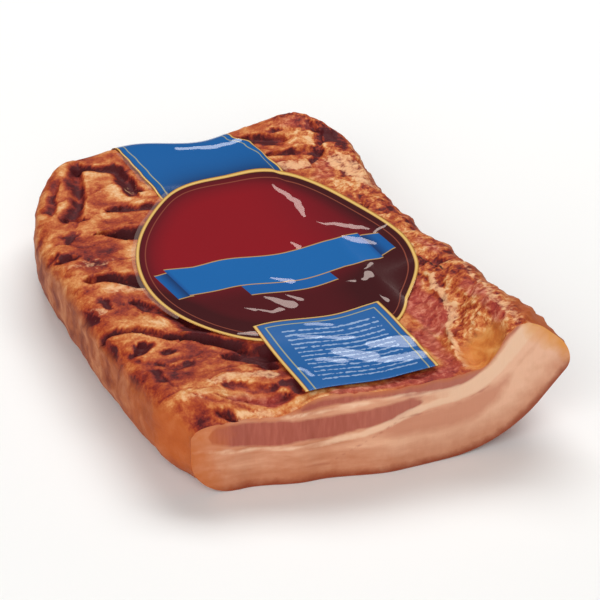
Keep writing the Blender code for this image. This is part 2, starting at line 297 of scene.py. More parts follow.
# %% Distance to a trail, and lumps
def trail(s, y, points, start, end, behind=1.0):
    """Distance to a line through the points, in widths. The width grows from start to end, and
    places on the line's left hand, seen along it, count as 'behind' times further away."""
    nearest = np.full(np.shape(s), 1e9)
    steps = len(points) - 1
    for number, ((ax, ay), (bx, by)) in enumerate(zip(points[:-1], points[1:])):
        dx, dy = bx - ax, by - ay
        t = np.clip(((s - ax) * dx + (y - ay) * dy) / (dx * dx + dy * dy), 0, 1)
        left_hand = dx * (y - ay) - dy * (s - ax) > 0
        away = np.hypot(s - ax - t * dx, y - ay - t * dy) * np.where(left_hand, behind, 1.0)
        nearest = np.minimum(nearest, away / (start + (end - start) * (number + t) / steps))
    return nearest


def lumps(s, y, size, seed):
    """Smooth random heights from -1 to 1: one seeded draw for each square, eased between squares."""
    draws = np.random.default_rng(seed).uniform(-1, 1, (64, 64))
    a, b = s / size + 10, y / size + 10
    i, j = np.floor(a).astype(int), np.floor(b).astype(int)
    f, g = ease(a - i), ease(b - j)
    i, j = i % 63, j % 63
    near = draws[i, j] * (1 - f) + draws[i + 1, j] * f
    far = draws[i, j + 1] * (1 - f) + draws[i + 1, j + 1] * f
    return near * (1 - g) + far * g


# %% [markdown]
# ## Where the label lies
# The medallion is an oval, turned a little, whose film is stretched over the curl, so
# its outline swings in and out by a few percent. Its own coordinates make the edge lie
# at a distance of 1 from the middle, which is handy for the print too. The band drifts
# to one side as it runs back. The meat is pressed smoother under the film.

# %% Places of the three sheets
CLEARANCE, SHEET_GAP = 0.9, 0.45
MEDALLION_CENTRE, MEDALLION_RADII, MEDALLION_TILT = (93.5, 149.5), (77.0, 98.8), np.radians(-6.2)
MEDALLION_LOBES = ((3, -0.059), (4, -0.018))
MEDALLION_MEAN_RADIUS = 85.0
PANEL_SIDES, PANEL_FRONT, PANEL_BACK = (53.0, 125.3), (4.5, 9.0), (78.0, 85.0)
BAND_FRONT, BAND_DROP = 202.0, 24.0
BAND_AT = (202, 243, 262, 277, 290, 306)
BAND_LEFT = (58, 56, 54, 52.5, 51, 50)
BAND_RIGHT = (138, 136.5, 133.5, 128.5, 120, 116)
print("medallion:", 2 * MEDALLION_RADII[0], "by", 2 * MEDALLION_RADII[1], "mm")


def lobes(across, along):
    """The outline's radius in a direction, as a share of the oval's: 1 plus a wave for each lobe count."""
    direction = np.arctan2(along, across)
    return 1 + sum(share * np.sin(count * direction) for count, share in MEDALLION_LOBES)


def medallion_place(s, y):
    """A point in the oval's own axes, in radii, so that the edge is at a distance of 1."""
    ds, dy = s - MEDALLION_CENTRE[0], y - MEDALLION_CENTRE[1]
    across = (ds * np.cos(MEDALLION_TILT) + dy * np.sin(MEDALLION_TILT)) / MEDALLION_RADII[0]
    along = (dy * np.cos(MEDALLION_TILT) - ds * np.sin(MEDALLION_TILT)) / MEDALLION_RADII[1]
    reach = lobes(across, along)
    return across / reach, along / reach


def from_medallion(across, along):
    """The way back, from the oval's axes to s and y."""
    reach = lobes(across, along)
    across, along = across * reach * MEDALLION_RADII[0], along * reach * MEDALLION_RADII[1]
    s = MEDALLION_CENTRE[0] + across * np.cos(MEDALLION_TILT) - along * np.sin(MEDALLION_TILT)
    return s, MEDALLION_CENTRE[1] + across * np.sin(MEDALLION_TILT) + along * np.cos(MEDALLION_TILT)


def panel_ends(s):
    """The panel's front and back edge at s. Both slant."""
    return np.interp(s, PANEL_SIDES, PANEL_FRONT), np.interp(s, PANEL_SIDES, PANEL_BACK)


def band_sides(y):
    """The band's left and right edge at y."""
    return stations(y, BAND_AT, BAND_LEFT), stations(y, BAND_AT, BAND_RIGHT)


def inside_label(s, y):
    """Millimetres from the nearest sheet's edge, positive under the sheet."""
    medallion = (1 - np.hypot(*medallion_place(s, y))) * MEDALLION_MEAN_RADIUS
    panel = np.minimum(s - PANEL_SIDES[0], PANEL_SIDES[1] - s)
    front, back = panel_ends(s)
    panel = np.minimum(panel, np.minimum(back - y, y - front))
    left, right = band_sides(y)
    band = np.minimum(np.minimum(s - left, right - s), y - BAND_FRONT)
    return np.maximum(np.maximum(medallion, panel), band)


# %% [markdown]
# ## The relief as one function
# The mesh needs heights, and the crust's material needs to know what is high, low or
# dark. Both come from one function, so the colours always follow the form, and light
# and shade are painted into them: painted highlight on high places, painted shade with
# the char in troughs and cracks. Trails give the troughs, and noise gives cushions,
# crags on the curled side and thin cracks.

# %% Relief: lumps as (size, height, seed), crags as (size, squeeze, height, added height, seed)
LUMPS = ((17.0, 1.8, 3), (8.0, 0.8, 4))
CRAGS = ((4.6, 1.2, 0.12, 0.9, 21), (2.8, 1.0, 0.05, 0.7, 22))
CRAGGY_FROM, CRAGGY_OVER = 140.0, 30.0
TROUGH_WIDER, CRACK_DEPTH, CRACK_WIDTH = 1.15, 0.9, 0.12
SMOOTH_UNDER_LABEL, HIGHEST_UNDER_LABEL, HIGHEST_BESIDE = 0.2, 0.35, 3.0


def craggy(s):
    """0 on the flat part of the top, easing to 1 on the side that curls up."""
    return ease((s - CRAGGY_FROM) / CRAGGY_OVER)


def away_from(s, y, centre, radii):
    """Distance to an oval's centre in its own radii: the oval's edge is at 1."""
    return np.hypot((s - centre[0]) / radii[0], (y - centre[1]) / radii[1])


def relief(s, y):
    """Height over the smooth top in mm, how pale (above 0.5) or dark (below it) the crust is, and masks
    from 0 to 1: pale fat, dark lean and scoop. The paleness is roast with painted light: painted
    highlight on shoulders and high bumps, painted shade with the char in troughs and cracks.
    A trough has a flat floor, and walls that end sharply."""
    ws = s + 2.0 * lumps(s, y, 9.0, 11) + 0.5 * lumps(s, y, 3.7, 12)
    wy = y + 2.0 * lumps(s, y, 9.0, 13) + 0.5 * lumps(s, y, 3.7, 14)
    height, char_and_shade, crest_highlight = np.zeros(np.shape(s)), np.zeros(np.shape(s)), np.zeros(np.shape(s))
    for points, start, end, depth, trough_char_and_shade in TROUGHS:
        away = trail(ws, wy, points, TROUGH_WIDER * start, TROUGH_WIDER * end, STEEPER_AT_THE_BACK)
        profile = np.clip(1.35 - away, 0, 1) ** 1.2
        height -= depth * profile
        # Darkness in a trough is char together with painted shade in the hollow.
        char_and_shade = np.maximum(char_and_shade, trough_char_and_shade * ease((1.55 - away) / 0.8))
        crest_highlight = np.maximum(crest_highlight, np.exp(-(((away - 1.75) / 0.4) ** 2)) * min(depth / 3, 1))
    for points, start, end, depth in SOFT_DIPS:
        height -= depth * np.exp(-(trail(s, y, points, start, end) ** 2))
    bumps = np.zeros(np.shape(s))
    for size, amount, seed in LUMPS:
        bumps += amount * (lumps(ws, wy, size, seed) - 0.3) / 2
    for size, squeeze, everywhere, added, seed in CRAGS:
        bumps += (everywhere + added * craggy(s)) * lumps(ws, wy * squeeze, size, seed)
    fold = np.abs(lumps(ws * 0.8 + wy * 0.3, wy * 1.5, 15.0, 23))
    crack = np.maximum(1 - fold / CRACK_WIDTH, 0)
    bumps -= CRACK_DEPTH * crack
    height += bumps
    inside = inside_label(s, y)
    height *= 1 - (1 - SMOOTH_UNDER_LABEL) * ease((inside - 1) / 8)
    height = np.minimum(height, HIGHEST_UNDER_LABEL + HIGHEST_BESIDE * ease(-inside / 6))
    away = away_from(s, y, SCOOP_CENTRE, SCOOP_RADII)
    scoop = np.exp(-(away**8))
    height = height * (1 - 0.85 * scoop) - SCOOP_DEPTH * np.exp(-(away**4))
    height += RIDGE[2] * np.exp(-(trail(s, y, RIDGE[0], RIDGE[1], RIDGE[1]) ** 2))
    broad = 0.24 * lumps(s, y, 26.0, 24) + 0.16 * lumps(ws, wy, 11.0, 25)
    broad -= DARKER_BY * np.exp(-(away_from(s, y, DARKER_AT, DARKER_REACH) ** 2))
    char_and_shade = char_and_shade * (1 + 0.5 * lumps(ws, wy, 5.0, 26))
    # Paleness: broad lumps are the roast's own tone; high bumps and shoulders add painted highlight, and
    # troughs and cracks take it down as char with painted shade.
    roast_and_painted_light = 0.6 + broad + 0.13 * bumps + 0.16 * crest_highlight * (1 - char_and_shade) - 0.68 * char_and_shade - 0.14 * crack
    patches = []
    for trails in (PALE_FAT, DARK_LEAN):
        mask = np.zeros(np.shape(s))
        for points, start, end, strength in trails:
            mask = np.maximum(mask, strength * np.exp(-(trail(ws, wy, points, start, end) ** 4)))
        patches.append(mask)
    return height, roast_and_painted_light, patches[0], patches[1], scoop


sample = relief(*np.meshgrid(np.linspace(-24, 190, 60), np.linspace(0, LENGTH, 80)))[0]
print("relief from", round(sample.min(), 1), "to", round(sample.max(), 1), "mm")


# %% [markdown]
# ## Meshes from grids
# A closed shell over a box is six grids that share their edge points. Numbering every
# point on the outside of a lattice once gives those shared points, so that the shell
# has no seams. A loop over six faces is enough: all the points of one face are handled
# as one array.

# %% Shell of a box and sheets as meshes
def box_shell(na, nb, nc):
    """Points u, v, w from -1 to 1 on a lattice's outside, its quads, and which quads are the front."""
    i, j, k = np.meshgrid(np.arange(na + 1), np.arange(nb + 1), np.arange(nc + 1), indexing="ij")
    outside = (i % na == 0) | (j % nb == 0) | (k % nc == 0)
    number = np.full(outside.shape, -1)
    number[outside] = np.arange(outside.sum())
    points = np.stack([i / na, j / nb, k / nc], -1)[outside] * 2 - 1
    quads, front = [], []
    faces = (
        (number[:, :, -1], False), (number[:, :, 0], True), (number[-1], False),
        (number[0], True), (number[:, -1], True), (number[:, 0], False),
    )
    for index, (grid, flip) in enumerate(faces):
        ring = [grid[:-1, :-1], grid[1:, :-1], grid[1:, 1:], grid[:-1, 1:]]
        quads.append(np.stack(ring[::-1] if flip else ring, -1).reshape(-1, 4))
        front.append(np.full(len(quads[-1]), index == 5))
    return points, np.concatenate(quads), np.concatenate(front)


def make_mesh(name, points, quads, attributes=None):
    """An object from rows of mm and rows of corner numbers, with one value a point in each attribute."""
    mesh = bpy.data.meshes.new(name)
    mesh.vertices.add(len(points))
    mesh.vertices.foreach_set("co", (points * MM).ravel())
    mesh.loops.add(quads.size)
    mesh.loops.foreach_set("vertex_index", quads.ravel().astype(np.int32))
    mesh.polygons.add(len(quads))
    mesh.polygons.foreach_set("loop_start", np.arange(0, quads.size, 4, dtype=np.int32))
    mesh.update(calc_edges=True)
    mesh.validate()
    for key, values in (attributes or {}).items():
        kept = mesh.attributes.new(key, "FLOAT", "POINT").data
        kept.foreach_set("value", values.ravel().astype(np.float32))
    mesh.shade_smooth()
    made = bpy.data.objects.new(name, mesh)
    bpy.context.scene.collection.objects.link(made)
    return made


# %% [markdown]
# ## The meat
# The slab's mesh is the box shell with all of the above applied. Masks are kept with
# the points, so that the colours follow the form: char sits in the grooves, the pale
# shoulders beside them, and the layers of the cut run along the sheet.
#
# The cut shows the belly's layers. Each streak of lean is a band along s with a height
# in the thickness (0 at the rind, 1 at the top) and a half thickness in millimetres
# that tapers to nothing at its ends. Stored as a distance to the streak's edge, it
# stays sharp in the shader however coarse the grid is.

# %% The slab's mesh: streaks as (places along s, level at each, half thickness at each)
MAIN_LEAN = ((1, 4, 8, 21, 34, 48, 61, 72, 81, 92, 99, 106, 111, 114),
             (0.68, 0.68, 0.685, 0.638, 0.62, 0.625, 0.615, 0.643, 0.67, 0.715, 0.73, 0.765, 0.77, 0.78),
             (-1.0, 4.0, 6.2, 6.9, 7.5, 6.6, 6.5, 5.8, 5.6, 5.3, 5.4, 3.4, 1.2, -0.5))
TOP_LEAN = ((40, 48, 60, 72, 84, 96, 108), (0.87, 0.89, 0.91, 0.93, 0.95, 0.96, 0.97),
            (-0.5, 1.8, 2.4, 2.2, 2.2, 2.4, 2.6))
RIM_LEAN = ((90, 104, 118, 132, 150, 166, 178, 186), (0.93, 0.92, 0.92, 0.925, 0.94, 0.95, 0.95, 0.94),
            (-0.5, 2.6, 3.8, 3.6, 3.2, 2.6, 1.4, -0.5))
LOW_LEAN = ((84, 98, 122, 140, 156, 172), (0.52, 0.53, 0.52, 0.53, 0.55, 0.57),
            (-0.5, 5.0, 7.0, 7.5, 5.0, -0.5))
PALE_TOP = ((10, 44, 60, 80, 100, 118, 140, 160), (0.83, 0.81, 0.815, 0.86, 0.9, 0.85, 0.82, 0.82),
            (-0.4, 0.8, 1.0, 1.0, 0.9, 1.2, 2.4, 3.0))
PALE_UNDER = ((-4, 18, 39, 61, 81, 104, 120, 135, 165), (0.52, 0.46, 0.43, 0.43, 0.5, 0.66, 0.72, 0.74, 0.74),
              (0.6, 0.9, 1.0, 1.2, 1.8, 2.2, 2.0, 2.2, 2.6))
FAINT_LINE = ((-4, 29, 64, 100, 120, 150, 176), (0.3, 0.2, 0.18, 0.62, 0.645, 0.665, 0.67),
              (0.1, 0.3, 0.3, 0.3, 0.35, 0.4, -0.4))
SIDE_LUMPS, ROUGHER_SIDE = ((14.0, 0.7, 31), (5.0, 0.35, 32)), 1.2


def streak(s, level, depth, layer):
    """Millimetres inside a streak (below 0 outside): half thickness less the height off its middle."""
    at, middle, half = layer
    return np.interp(s, at, half) - np.abs(level - np.interp(s, at, middle)) * depth


def make_meat(cells):
    """The box shell rounded, given its relief and bent. The relief lowers the top in full and the
    layers below it less and less. Front quads take the second material."""
    points, quads, front = box_shell(*cells)
    u, v, w = points.T
    share, y, h, outward = rounded(u, v, w)
    left, right = sides(y)
    s = left + (right - left) * share
    height, roast_and_painted_light, pale, lean_patch, scoop = relief(s, y)
    depth = thickness(s, y)
    level = h / THICKNESS + 0.5
    h = h * depth / THICKNESS + height * level**2
    up = np.clip(outward[:, 2], 0, 1)
    beside = (1 - outward[:, 2] ** 2) * (v > -1)
    rough = sum(amount * lumps(s + 2 * h, y + 1.5 * h, size, seed) for size, amount, seed in SIDE_LUMPS)
    rough = rough * beside * (1 + ROUGHER_SIDE * craggy(s))
    bent = place(s + rough * outward[:, 0], y + rough * outward[:, 1], h + rough * outward[:, 2])
    bent[:, 2] = np.maximum(bent[:, 2], 0)
    level = h / depth + 0.5
    lean = np.maximum.reduce([streak(s, level, depth, each) for each in (MAIN_LEAN, TOP_LEAN, RIM_LEAN)])
    attributes = {
        "roast_and_painted_light": 0.55 + (roast_and_painted_light - 0.55) * up, "pale_patch": pale * up, "lean_patch": lean_patch * up,
        "scoop": scoop * up, "up": up, "across": s, "along": y, "level": level, "lean": lean,
        "low_lean": streak(s, level, depth, LOW_LEAN),
        "pale": np.maximum(streak(s, level, depth, PALE_TOP), streak(s, level, depth, PALE_UNDER)),
        "faint": streak(s, level, depth, FAINT_LINE),
        "from_top": (1 - level) * depth + height, "from_rind": level * depth,
        "from_left": s - left, "from_rim": right - s, "slit_shade": trail(s, y, SLIT, 1.0, 1.0) + 9 * (1 - up),
        "craggy": craggy(s),
    }
    meat = make_mesh("meat", bent, quads, attributes)
    meat.data.polygons.foreach_set("material_index", front.astype(np.int32))
    meat.data.set_sharp_from_angle(angle=np.radians(60))
    print("meat:", len(points), "points,", 2 * len(quads), "triangles")
    return meat


MEAT_CELLS = ((168, 226, 22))
meat = make_meat(MEAT_CELLS)


# %% [markdown]
# ## Browned crust
# The real surface is cured fat and lean that dried, browned and charred in a hot smoke
# oven. Roasting follows one path of colour, from pale fat over gold, orange and red
# brown to a maroon that is almost black, so one ramp holds that path. Where a point is
# on it comes from the form, which paints light and shade into it (shoulders and high
# bumps pale as painted highlight, troughs and cracks dark as painted shade with their
# char), plus blotches of about 12 mm and mottle of about 4 mm. Lean, pale crumbs of fat
# and the scoop go over it, as a painter would glaze them. It is greasy, with a soft, weak shine.

# %% Crust material
def attribute(tree, name):
    """One of the masks or distances kept with the mesh's points."""
    return node(tree, "Attribute", attribute_name=name, out="Fac")


def over(tree, tone, colour, share):
    """Lays a colour over another one by a share from 0 to 1."""
    return node(tree, "Mix", {0: share, 6: tone, 7: colour}, out=2, data_type="RGBA")


def ragged(tree, name, noise, spread, start, end, strength=1.0):
    """A kept mask with a torn edge: noise is added to it, then start to end becomes 0 to strength."""
    centred = node(tree, "Math", {0: noise, 1: 0.5}, operation="SUBTRACT")
    torn = node(tree, "Math", {0: centred, 1: spread, 2: attribute(tree, name)}, operation="MULTIPLY_ADD")
    return node(tree, "MapRange", {0: torn, 1: start, 2: end, 3: 0.0, 4: strength})


def browned_crust():
    """Cured pork, roasted: blotches of 12 mm, mottle of 4 mm and grain of 1 mm, which is coarser than
    the real grain so that it shows. The shine is weak, and light seeps in by a millimetre or two."""
    material, tree, shader = new_material("browned_crust", {
        "Roughness": 0.6, "IOR": 1.4, "Specular IOR Level": 0.2, "Subsurface Weight": 0.05,
        "Subsurface Radius": (1.0, 0.35, 0.2), "Subsurface Scale": 0.002})
    spot = node(tree, "TexCoord", out="Object")
    blotch = node(tree, "TexNoise", {
        "Vector": spot, "Scale": 85.0, "Detail": 5.0, "Roughness": 0.55, "Distortion": 0.5})
    mottle = node(tree, "TexNoise", {
        "Vector": spot, "Scale": 260.0, "Detail": 4.0, "Roughness": 0.6, "Distortion": 0.3})
    grain = node(tree, "TexNoise", {"Vector": spot, "Scale": 800.0, "Detail": 2.0, "Roughness": 0.6})
    crumbs = node(tree, "Math", {0: mottle, 1: 0.5}, operation="SUBTRACT")
    crumbs = node(tree, "Math", {0: crumbs, 1: attribute(tree, "craggy")}, operation="MULTIPLY")
    # The ramp's place is roast with painted light: painted highlight on shoulders and bumps, painted shade in
    # troughs and cracks.
    step = attribute(tree, "roast_and_painted_light")
    for noise, weight in ((blotch, 1.3), (mottle, 0.6), (crumbs, 1.6), (grain, 0.45)):
        step = node(tree, "Math", {0: noise, 1: weight, 2: step}, operation="MULTIPLY_ADD")
    step = node(tree, "Math", {0: step, 1: 1.2}, operation="SUBTRACT")
    tone = node(tree, "ValToRGB", {0: step}, stops=(
        (0.0, "#4c1216"), (0.14, "#70201b"), (0.28, "#8c2f1d"), (0.42, "#a44321"), (0.56, "#b75c2e"),
        (0.70, "#c87842"), (0.84, "#d6935a"), (1.0, "#e4b585")))
    lean = node(tree, "ValToRGB", {0: mottle}, stops=(
        (0.36, "#862826"), (0.50, "#a74036"), (0.64, "#c87260")))
    tone = over(tree, tone, lean, ragged(tree, "lean_patch", blotch, 1.2, 0.25, 0.75, 0.85))
    tone = over(tree, tone, linear("#e9b98c"), ragged(tree, "pale_patch", mottle, 2.2, 0.45, 0.95, 0.75))
    orange = node(tree, "ValToRGB", {0: blotch}, stops=(
        (0.35, "#b8602a"), (0.5, "#cb7c3a"), (0.65, "#d79552")))
    tone = over(tree, tone, orange, attribute(tree, "scoop"))
    # The slit is only a near-black line: painted shade in a slit that the mesh does not cut.
    slit_shade = node(tree, "MapRange", {0: attribute(tree, "slit_shade"), 1: 0.9, 2: 0.4, 3: 0.0, 4: 0.95})
    tone = over(tree, tone, linear("#2a0d0c"), slit_shade)
    side = node(tree, "MapRange", {0: attribute(tree, "up"), 1: 0.7, 2: 0.2})
    near = node(tree, "MapRange", {0: attribute(tree, "along"), 1: 90.0, 2: 10.0, 3: 0.0, 4: 0.8})
    skin = node(tree, "ValToRGB", {0: blotch}, stops=(
        (0.34, "#7f3620"), (0.50, "#a3552f"), (0.66, "#bd7850")))
    skin = over(tree, skin, linear("#b4561f"), near)
    tone = over(tree, tone, skin, side)
    below = node(tree, "MapRange", {0: attribute(tree, "level"), 1: 0.35, 2: 0.02, 3: 0.0, 4: 0.8})
    tone = over(tree, tone, linear("#96401f"), below)
    tree.links.new(tone, shader.inputs["Base Color"])
    rough = node(tree, "Math", {0: grain, 1: 0.4, 2: mottle}, operation="MULTIPLY_ADD")
    bump = node(tree, "Bump", {"Height": rough, "Strength": 0.4, "Distance": 0.0012})
    tree.links.new(bump, shader.inputs["Normal"])
    return material


# %% [markdown]
# ## The knife cut
# A knife leaves cured meat smooth and a little moist. Lean is a dull rose with fine
# fibres that stand upright in the cut, fat is a warm pinkish cream, and the smoke has
# stained a thin line of orange brown all round. Each layer's distance is roughened by
# noise before it becomes a mask, so the borders wander as muscle does.

# %% Cut meat material
def cut_meat():
    """Cured belly, cut: the layers' borders wander by about 1 mm, and the fibres' noise repeats every
    2 mm or so, stretched to stand upright. The face is moist, so it is smoother than the crust."""
    material, tree, shader = new_material("cut_meat", {
        "Roughness": 0.4, "IOR": 1.4, "Specular IOR Level": 0.4, "Subsurface Weight": 0.08,
        "Subsurface Radius": (1.0, 0.4, 0.25), "Subsurface Scale": 0.002})
    spot = node(tree, "TexCoord", out="Object")
    wander = node(tree, "TexNoise", {"Vector": spot, "Scale": 130.0, "Detail": 4.0, "Roughness": 0.55})
    upright = node(tree, "Mapping", {
        "Vector": spot, "Rotation": (0, np.radians(-14), 0), "Scale": (1.0, 1.0, 0.14)})
    fibres = node(tree, "TexNoise", {"Vector": upright, "Scale": 520.0, "Detail": 3.0, "Roughness": 0.5})
    layered = node(tree, "Mapping", {
        "Vector": spot, "Rotation": (0, np.radians(4), 0), "Scale": (0.16, 1.0, 1.2)})
    layers = node(tree, "TexNoise", {"Vector": layered, "Scale": 170.0, "Detail": 3.0, "Roughness": 0.5})
    fat = node(tree, "ValToRGB", {0: layers}, stops=(
        (0.34, "#bd7a58"), (0.52, "#c98b6a"), (0.70, "#d69f7e")))
    far = node(tree, "MapRange", {0: attribute(tree, "across"), 1: 60.0, 2: 165.0, 3: 0.0, 4: 0.85})
    tone = over(tree, fat, linear("#e6b596"), far)
    lean = node(tree, "ValToRGB", {0: fibres}, stops=(
        (0.30, "#984a38"), (0.52, "#a05140"), (0.74, "#aa5b48")))
    lean = over(tree, lean, linear("#b5705c"), far)
    masks = (
        ("low_lean", 3.0, 5.0, 0.75, linear("#c07b5e")),
        ("lean", 1.5, 1.8, 1.0, lean),
        ("pale", 1.4, 1.4, 0.7, linear("#e6c0a0")),
        ("faint", 1.2, 1.0, 0.6, linear("#a85f4a")),
    )
    for name, wobble, blur, strength, colour in masks:
        mask = ragged(tree, name, wander, wobble * 2, -blur / 2, blur / 2, strength)
        tone = over(tree, tone, colour, mask)
    rims = (
        ("from_rind", 18.0, 1.0, 0.75, linear("#b0623a")),
        ("from_rind", 5.0, 0.8, 0.9, linear("#8b3a1f")),
        ("from_left", 24.0, 0.0, 0.95, linear("#ba6128")),
        ("from_rim", 10.0, 0.5, 0.9, linear("#d68c3a")),
        ("from_top", 3.0, 0.2, 0.8, linear("#b8683e")),
    )
    for name, reach, start, strength, colour in rims:
        tone = over(tree, tone, colour, ragged(tree, name, wander, reach, reach, start, strength))
    tree.links.new(tone, shader.inputs["Base Color"])
    bump = node(tree, "Bump", {"Height": fibres, "Strength": 0.2, "Distance": 0.0006})
    tree.links.new(bump, shader.inputs["Normal"])
    return material


meat.data.materials.append(browned_crust())
meat.data.materials.append(cut_meat())
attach(meat, "root")
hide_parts("slab")


# %% [markdown]
# ## The label's film
# The label is printed film, so it is shiny and takes on small creases. Its height is
# the slab's smooth top plus a clearance, plus a gentle waviness.
# Where film is creased, a small flat piece of it tilts and mirrors the light, and the
# eye sees a crisp bright shard. A facet mirrors the light when it is square to the line
# halfway between the ways to the light and to the eye. So each facet is a trail like
# those of the relief, raised a little in the mesh, and its shader turns the surface's
# normal to that one direction wherever a point lies inside a facet.

# %% Film surface: facets as (points, half width at the start, half width at the end)
KEY_SPOT = np.array([0.55, 0.85, 1.6])
AZIMUTH, ELEVATION = np.radians(-22.09), np.radians(31.24)
LEVEL = np.cos(ELEVATION)
TO_EYE = np.array([np.sin(AZIMUTH) * LEVEL, -np.cos(AZIMUTH) * LEVEL, np.sin(ELEVATION)])
FACETS = (
    (((121, 230), (125, 214), (128, 203)), 0.5, 3.3),
    (((125, 187), (128, 203)), 0.8, 3.3),
    (((128, 179), (140, 170), (148, 163)), 0.3, 2.6),
    (((156, 155), (148, 163)), 0.4, 2.6),
    (((167, 154), (158, 150)), 0.3, 1.6),
    (((106, 166), (108, 158)), 0.4, 2.2),
    (((70, 108), (80, 98)), 0.6, 4.6),
    (((82, 109), (88, 103)), 0.4, 2.2),
    (((60, 95), (68, 90.5), (74, 93)), 0.3, 1.9),
    (((56, 98), (60, 94)), 0.4, 1.6),
    (((44, 74), (53, 71)), 0.6, 2.6),
    (((128, 110), (137, 113)), 1.4, 4.4),
    (((117, 112), (122, 110)), 0.5, 1.5),
    (((136, 119), (144, 121)), 0.3, 1.4),
    (((130, 92), (133, 84)), 0.4, 2.2),
    (((140, 156), (147, 147)), 0.8, 3.2),
    (((153, 138), (147, 147)), 0.8, 3.2),
    (((82, 129), (90, 124)), 0.8, 3.0),
    (((80, 75), (92, 73)), 1.6, 2.4),
    (((72, 63), (98, 57)), 1.2, 3.0),
    (((72, 36), (84, 33)), 2.0, 4.0),
    (((86, 43), (98, 34)), 5.0, 7.0),
    (((104, 47), (122, 42)), 4.0, 8.0),
    (((102, 28), (122, 25)), 4.0, 6.0),
    (((60, 28), (63, 20)), 2.4, 2.2),
    (((84, 288), (100, 287), (122, 283)), 1.6, 2.6),
)


def halfway():
    """The unit direction halfway between the ways to the key light and to the eye."""
    to_light = KEY_SPOT / np.linalg.norm(KEY_SPOT)
    return (to_light + TO_EYE) / np.linalg.norm(to_light + TO_EYE)


def facet_inside(s, y):
    """Millimetres inside the nearest facet, below 0 outside of all."""
    ws, wy = s + 0.8 * lumps(s, y, 5.0, 43), y + 0.8 * lumps(s, y, 5.0, 44)
    inner = [(1 - trail(ws, wy, points, start, end)) * (start + end) / 2 for points, start, end in FACETS]
    return np.maximum(np.maximum.reduce(inner), -5)


def film_lift(s, y):
    """Millimetres over the clearance: waves of 40 and 17 mm, and 0.4 mm on the facets."""
    return 0.3 * lumps(s, y, 40.0, 41) + 0.08 * lumps(s, y, 17.0, 42) + 0.4 * ease(facet_inside(s, y) / 2)


def on_medallion(s, y):
    """A point of the medallion's sheet."""
    return place(s, y, thickness(s, y) / 2 + CLEARANCE + film_lift(s, y))


def grid(na, nb):
    """Two arrays from -1 to 1 over a grid, and its quads, counted so that they face up."""
    u, v = np.meshgrid(np.linspace(-1, 1, na + 1), np.linspace(-1, 1, nb + 1), indexing="ij")
    number = np.arange((na + 1) * (nb + 1)).reshape(na + 1, nb + 1)
    ring = (number[:-1, :-1], number[1:, :-1], number[1:, 1:], number[:-1, 1:])
    return u.ravel(), v.ravel(), np.stack(ring, -1).reshape(-1, 4)


def make_sheet(name, points, quads, attributes, material, wall):
    """A thin closed sheet: the grid is its upper face, and Solidify adds the wall below it."""
    sheet = make_mesh(name, points, quads, attributes)
    print(name + ":", len(points), "points,", wall, "mm thick")
    solid = sheet.modifiers.new("film thickness", "SOLIDIFY")
    solid.thickness = wall * MM
    solid.offset = -1
    sheet.data.materials.append(material)
    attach(sheet, "root")
    return sheet


# %% [markdown]
# ## Printed film materials
# The print is ink behind clear gloss film, so it has clean colour and a sharp, thin
# reflection. Each sheet keeps, with its points, how far a point is from the sheet's
# edge in millimetres, and colour bands in that distance draw the gold edge and the
# fine line inside it. The red is brighter in the medallion's back half and falls to a
# dark wine towards its rim and its front, as the real print is shaded.
#
# Across the medallion runs a plain blue ribbon with gold edges, whose ends are folded
# back behind it, and a smaller ribbon hangs under it. They are print too. Each one is a
# strip between an upper and a lower line, and its distances are kept in the same way.

# %% Ink and gloss, and ribbons as (places along s, upper y, lower y) and a lean
FILM_WALL = 0.25
BANNER = ((32, 46, 78, 102, 124, 143, 150.5), (153, 151, 154, 156.5, 157, 156, 154),
          (120, 120.5, 122.5, 124.5, 126.5, 126, 122.5))
BANNER_LEAN = 4.0
BEHIND_BANNER = (
    (((25, 34), (148, 150), (117, 119)), 4.0),
    (((150, 160), (151.5, 148), (123.5, 127)), 3.0),
    (((64, 90, 114), (122.5, 125.5, 127.5), (110, 113, 116)), 2.0),
)


def strip(s, y, line, lean):
    """Millimetres inside a strip's long edges and inside its ends. Its ends lean by 'lean' mm."""
    at, upper, lower = line
    high, low = np.interp(s, at, upper), np.interp(s, at, lower)
    along = s + lean * (y - (high + low) / 2) / (high - low)
    return np.minimum(y - low, high - y), np.minimum(along - at[0], at[-1] - along)


def gloss_film(roughness=0.15):
    """Settings of gloss film: polypropylene has an IOR of about 1.49 and a smooth face."""
    return {"Roughness": roughness, "IOR": 1.49}


def tilt_facets(tree, shader, blur):
    """Turns the normal towards halfway() inside a facet. The facet's edge is torn by 1 mm and fades
    in over 'blur' mm. A normal map holds a direction n as the colour (n + 1) / 2."""
    spot = node(tree, "TexCoord", out="Object")
    torn = node(tree, "TexNoise", {"Vector": spot, "Scale": 170.0, "Detail": 1.0})
    mask = ragged(tree, "facet", torn, 1.6, 0.0, blur)
    direction = (*((halfway() + 1) / 2).tolist(), 1.0)
    tilted = node(tree, "NormalMap", {"Color": direction, "Strength": mask}, space="OBJECT")
    tree.links.new(tilted, shader.inputs["Normal"])


